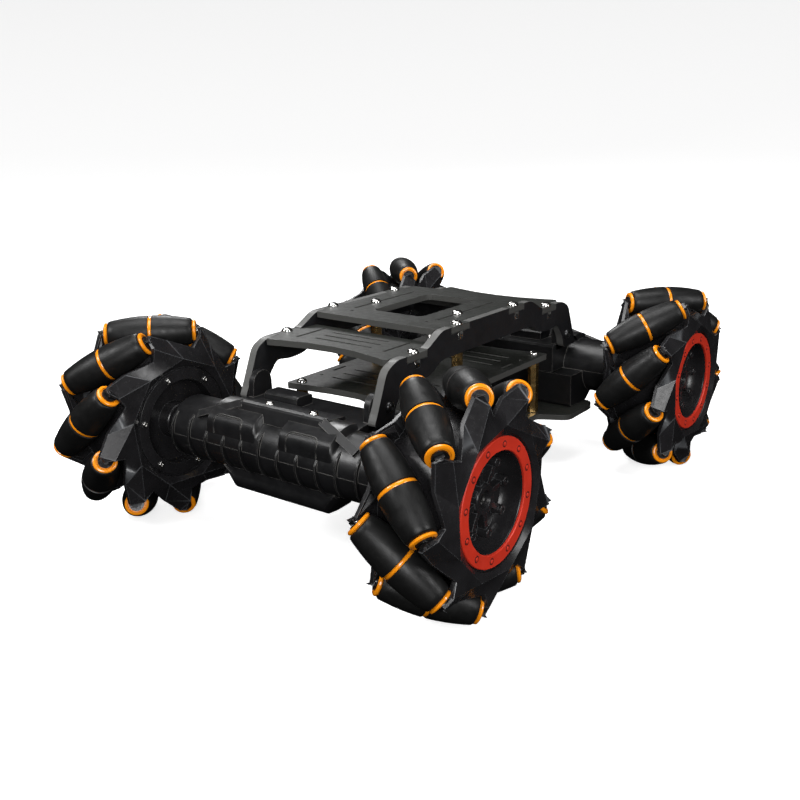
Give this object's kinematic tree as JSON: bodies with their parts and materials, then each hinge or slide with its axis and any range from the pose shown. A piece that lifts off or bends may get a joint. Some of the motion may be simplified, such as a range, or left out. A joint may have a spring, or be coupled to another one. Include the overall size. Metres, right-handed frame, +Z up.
{
  "type": "four wheel robot chassis",
  "caption": "Low robot chassis on omnidirectional wheels with slanted barrel rollers, driven by geared motors in tube axles, with stacked slotted plates between side frames.",
  "frame": {"origin": "centre of the footprint, on the ground under the wheels", "axes": "+X to the right, +Y to the rear, +Z up; the front axle is at -Y"},
  "size_m": [0.2188, 0.3037, 0.0999],
  "materials": {
    "plate_metal": "dark grey satin anodised sheet",
    "frame_metal": "black anodised sheet with paler cut edges",
    "housing_plastic": "satin black moulding",
    "motor_metal": "plain metal can and gearbox",
    "brass": "turned hexagon bar",
    "wheel_plastic": "glossy black moulding",
    "roller_rubber": "matte black rubber"
  },
  "bodies": {
    "chassis": {"floor_plate": "plate_metal", "middle_plate": "plate_metal", "top_plate": "plate_metal", "front_step_plate": "plate_metal", "rear_step_plate": "plate_metal", "side_frame_left": "frame_metal", "side_frame_right": "frame_metal", "front_housing_upper": "housing_plastic", "front_housing_lower": "housing_plastic", "rear_housing_upper": "housing_plastic", "rear_housing_lower": "housing_plastic", "standoff_fl": "brass", "standoff_fr": "brass", "standoff_rl": "brass", "standoff_rr": "brass", "gear_motor_fl": "motor_metal", "gear_motor_fr": "motor_metal", "gear_motor_rl": "motor_metal", "gear_motor_rr": "motor_metal"},
    "wheel_fl": {"wheel_hub_fl": "wheel_plastic"},
    "wheel_fr": {"wheel_hub_fr": "wheel_plastic"},
    "wheel_rl": {"wheel_hub_rl": "wheel_plastic"},
    "wheel_rr": {"wheel_hub_rr": "wheel_plastic"},
    "roller_fl_1": {"roller_fl_1": "roller_rubber"},
    "roller_fl_2": {"roller_fl_2": "roller_rubber"},
    "roller_fl_3": {"roller_fl_3": "roller_rubber"},
    "roller_fl_4": {"roller_fl_4": "roller_rubber"},
    "roller_fl_5": {"roller_fl_5": "roller_rubber"},
    "roller_fl_6": {"roller_fl_6": "roller_rubber"},
    "roller_fl_7": {"roller_fl_7": "roller_rubber"},
    "roller_fl_8": {"roller_fl_8": "roller_rubber"},
    "roller_fl_9": {"roller_fl_9": "roller_rubber"},
    "roller_fr_1": {"roller_fr_1": "roller_rubber"},
    "roller_fr_2": {"roller_fr_2": "roller_rubber"},
    "roller_fr_3": {"roller_fr_3": "roller_rubber"},
    "roller_fr_4": {"roller_fr_4": "roller_rubber"},
    "roller_fr_5": {"roller_fr_5": "roller_rubber"},
    "roller_fr_6": {"roller_fr_6": "roller_rubber"},
    "roller_fr_7": {"roller_fr_7": "roller_rubber"},
    "roller_fr_8": {"roller_fr_8": "roller_rubber"},
    "roller_fr_9": {"roller_fr_9": "roller_rubber"},
    "roller_rl_1": {"roller_rl_1": "roller_rubber"},
    "roller_rl_2": {"roller_rl_2": "roller_rubber"},
    "roller_rl_3": {"roller_rl_3": "roller_rubber"},
    "roller_rl_4": {"roller_rl_4": "roller_rubber"},
    "roller_rl_5": {"roller_rl_5": "roller_rubber"},
    "roller_rl_6": {"roller_rl_6": "roller_rubber"},
    "roller_rl_7": {"roller_rl_7": "roller_rubber"},
    "roller_rl_8": {"roller_rl_8": "roller_rubber"},
    "roller_rl_9": {"roller_rl_9": "roller_rubber"},
    "roller_rr_1": {"roller_rr_1": "roller_rubber"},
    "roller_rr_2": {"roller_rr_2": "roller_rubber"},
    "roller_rr_3": {"roller_rr_3": "roller_rubber"},
    "roller_rr_4": {"roller_rr_4": "roller_rubber"},
    "roller_rr_5": {"roller_rr_5": "roller_rubber"},
    "roller_rr_6": {"roller_rr_6": "roller_rubber"},
    "roller_rr_7": {"roller_rr_7": "roller_rubber"},
    "roller_rr_8": {"roller_rr_8": "roller_rubber"},
    "roller_rr_9": {"roller_rr_9": "roller_rubber"}
  },
  "joints": [
    {"name": "wheel_fl_spin", "type": "hinge", "parent": "chassis", "child": "wheel_fl", "pos_m": [-0.089, -0.102, 0.04989], "axis": [1, 0, 0], "continuous": true},
    {"name": "wheel_fr_spin", "type": "hinge", "parent": "chassis", "child": "wheel_fr", "pos_m": [0.089, -0.102, 0.04989], "axis": [1, 0, 0], "continuous": true},
    {"name": "wheel_rl_spin", "type": "hinge", "parent": "chassis", "child": "wheel_rl", "pos_m": [-0.089, 0.102, 0.04989], "axis": [1, 0, 0], "continuous": true},
    {"name": "wheel_rr_spin", "type": "hinge", "parent": "chassis", "child": "wheel_rr", "pos_m": [0.089, 0.102, 0.04989], "axis": [1, 0, 0], "continuous": true},
    {"name": "roller_fl_1_spin", "type": "hinge", "parent": "wheel_fl", "child": "roller_fl_1", "pos_m": [-0.089, -0.06116, 0.05724], "axis": [-0.7071, -0.1252, 0.6959], "continuous": true},
    {"name": "roller_fl_2_spin", "type": "hinge", "parent": "wheel_fl", "child": "roller_fl_2", "pos_m": [-0.089, -0.06599, 0.02926], "axis": [-0.7071, 0.3514, 0.6136], "continuous": true},
    {"name": "roller_fl_3_spin", "type": "hinge", "parent": "wheel_fl", "child": "roller_fl_3", "pos_m": [-0.089, -0.08767, 0.01094], "axis": [-0.7071, 0.6636, 0.2442], "continuous": true},
    {"name": "roller_fl_4_spin", "type": "hinge", "parent": "wheel_fl", "child": "roller_fl_4", "pos_m": [-0.089, -0.11606, 0.01084], "axis": [-0.7071, 0.6653, -0.2395], "continuous": true},
    {"name": "roller_fl_5_spin", "type": "hinge", "parent": "wheel_fl", "child": "roller_fl_5", "pos_m": [-0.089, -0.13787, 0.02901], "axis": [-0.7071, 0.3557, -0.6111], "continuous": true},
    {"name": "roller_fl_6_spin", "type": "hinge", "parent": "wheel_fl", "child": "roller_fl_6", "pos_m": [-0.089, -0.14289, 0.05695], "axis": [-0.7071, -0.1204, -0.6968], "continuous": true},
    {"name": "roller_fl_7_spin", "type": "hinge", "parent": "wheel_fl", "child": "roller_fl_7", "pos_m": [-0.089, -0.12879, 0.08159], "axis": [-0.7071, -0.5401, -0.4564], "continuous": true},
    {"name": "roller_fl_8_spin", "type": "hinge", "parent": "wheel_fl", "child": "roller_fl_8", "pos_m": [-0.089, -0.10214, 0.09139], "axis": [-0.7071, -0.7071, -0.0025], "continuous": true},
    {"name": "roller_fl_9_spin", "type": "hinge", "parent": "wheel_fl", "child": "roller_fl_9", "pos_m": [-0.089, -0.07544, 0.08177], "axis": [-0.7071, -0.5433, 0.4526], "continuous": true},
    {"name": "roller_fr_1_spin", "type": "hinge", "parent": "wheel_fr", "child": "roller_fr_1", "pos_m": [0.089, -0.14112, 0.06374], "axis": [-0.7071, 0.236, 0.6665], "continuous": true},
    {"name": "roller_fr_2_spin", "type": "hinge", "parent": "wheel_fr", "child": "roller_fr_2", "pos_m": [0.089, -0.14087, 0.03535], "axis": [-0.7071, -0.2476, 0.6623], "continuous": true},
    {"name": "roller_fr_3_spin", "type": "hinge", "parent": "wheel_fr", "child": "roller_fr_3", "pos_m": [0.089, -0.12244, 0.01377], "axis": [-0.7071, -0.6154, 0.3482], "continuous": true},
    {"name": "roller_fr_4_spin", "type": "hinge", "parent": "wheel_fr", "child": "roller_fr_4", "pos_m": [0.089, -0.09444, 0.00908], "axis": [-0.7071, -0.6953, -0.1289], "continuous": true},
    {"name": "roller_fr_5_spin", "type": "hinge", "parent": "wheel_fr", "child": "roller_fr_5", "pos_m": [0.089, -0.06998, 0.02349], "axis": [-0.7071, -0.4498, -0.5456], "continuous": true},
    {"name": "roller_fr_6_spin", "type": "hinge", "parent": "wheel_fr", "child": "roller_fr_6", "pos_m": [0.089, -0.0605, 0.05025], "axis": [-0.7071, 0.0062, -0.7071], "continuous": true},
    {"name": "roller_fr_7_spin", "type": "hinge", "parent": "wheel_fr", "child": "roller_fr_7", "pos_m": [0.089, -0.07044, 0.07684], "axis": [-0.7071, 0.4592, -0.5377], "continuous": true},
    {"name": "roller_fr_8_spin", "type": "hinge", "parent": "wheel_fr", "child": "roller_fr_8", "pos_m": [0.089, -0.09515, 0.09082], "axis": [-0.7071, 0.6974, -0.1167], "continuous": true},
    {"name": "roller_fr_9_spin", "type": "hinge", "parent": "wheel_fr", "child": "roller_fr_9", "pos_m": [0.089, -0.12306, 0.08565], "axis": [-0.7071, 0.6093, 0.3589], "continuous": true},
    {"name": "roller_rl_1_spin", "type": "hinge", "parent": "wheel_rl", "child": "roller_rl_1", "pos_m": [-0.089, 0.1431, 0.05566], "axis": [0.7071, -0.0984, 0.7002], "continuous": true},
    {"name": "roller_rl_2_spin", "type": "hinge", "parent": "wheel_rl", "child": "roller_rl_2", "pos_m": [-0.089, 0.13719, 0.0279], "axis": [0.7071, 0.3747, 0.5997], "continuous": true},
    {"name": "roller_rl_3_spin", "type": "hinge", "parent": "wheel_rl", "child": "roller_rl_3", "pos_m": [-0.089, 0.11482, 0.01042], "axis": [0.7071, 0.6725, 0.2185], "continuous": true},
    {"name": "roller_rl_4_spin", "type": "hinge", "parent": "wheel_rl", "child": "roller_rl_4", "pos_m": [-0.089, 0.08645, 0.01141], "axis": [0.7071, 0.6556, -0.2649], "continuous": true},
    {"name": "roller_rl_5_spin", "type": "hinge", "parent": "wheel_rl", "child": "roller_rl_5", "pos_m": [-0.089, 0.06536, 0.03041], "axis": [0.7071, 0.332, -0.6243], "continuous": true},
    {"name": "roller_rl_6_spin", "type": "hinge", "parent": "wheel_rl", "child": "roller_rl_6", "pos_m": [-0.089, 0.06141, 0.05852], "axis": [0.7071, -0.147, -0.6917], "continuous": true},
    {"name": "roller_rl_7_spin", "type": "hinge", "parent": "wheel_rl", "child": "roller_rl_7", "pos_m": [-0.089, 0.07645, 0.08259], "axis": [0.7071, -0.5572, -0.4353], "continuous": true},
    {"name": "roller_rl_8_spin", "type": "hinge", "parent": "wheel_rl", "child": "roller_rl_8", "pos_m": [-0.089, 0.10345, 0.09136], "axis": [0.7071, -0.7067, 0.0247], "continuous": true},
    {"name": "roller_rl_9_spin", "type": "hinge", "parent": "wheel_rl", "child": "roller_rl_9", "pos_m": [-0.089, 0.12977, 0.08073], "axis": [0.7071, -0.5255, 0.4731], "continuous": true},
    {"name": "roller_rr_1_spin", "type": "hinge", "parent": "wheel_rr", "child": "roller_rr_1", "pos_m": [0.089, 0.06135, 0.05823], "axis": [0.7071, 0.1422, 0.6927], "continuous": true},
    {"name": "roller_rr_2_spin", "type": "hinge", "parent": "wheel_rr", "child": "roller_rr_2", "pos_m": [0.089, 0.06549, 0.03015], "axis": [0.7071, -0.3363, 0.622], "continuous": true},
    {"name": "roller_rr_3_spin", "type": "hinge", "parent": "wheel_rr", "child": "roller_rr_3", "pos_m": [0.089, 0.08672, 0.0113], "axis": [0.7071, -0.6575, 0.2603], "continuous": true},
    {"name": "roller_rr_4_spin", "type": "hinge", "parent": "wheel_rr", "child": "roller_rr_4", "pos_m": [0.089, 0.1151, 0.01051], "axis": [0.7071, -0.671, -0.2232], "continuous": true},
    {"name": "roller_rr_5_spin", "type": "hinge", "parent": "wheel_rr", "child": "roller_rr_5", "pos_m": [0.089, 0.13735, 0.02814], "axis": [0.7071, -0.3705, -0.6023], "continuous": true},
    {"name": "roller_rr_6_spin", "type": "hinge", "parent": "wheel_rr", "child": "roller_rr_6", "pos_m": [0.089, 0.14305, 0.05595], "axis": [0.7071, 0.1033, -0.6995], "continuous": true},
    {"name": "roller_rr_7_spin", "type": "hinge", "parent": "wheel_rr", "child": "roller_rr_7", "pos_m": [0.089, 0.12955, 0.08092], "axis": [0.7071, 0.5288, -0.4695], "continuous": true},
    {"name": "roller_rr_8_spin", "type": "hinge", "parent": "wheel_rr", "child": "roller_rr_8", "pos_m": [0.089, 0.10316, 0.09137], "axis": [0.7071, 0.7068, -0.0197], "continuous": true},
    {"name": "roller_rr_9_spin", "type": "hinge", "parent": "wheel_rr", "child": "roller_rr_9", "pos_m": [0.089, 0.07622, 0.08241], "axis": [0.7071, 0.5542, 0.4392], "continuous": true}
  ]
}
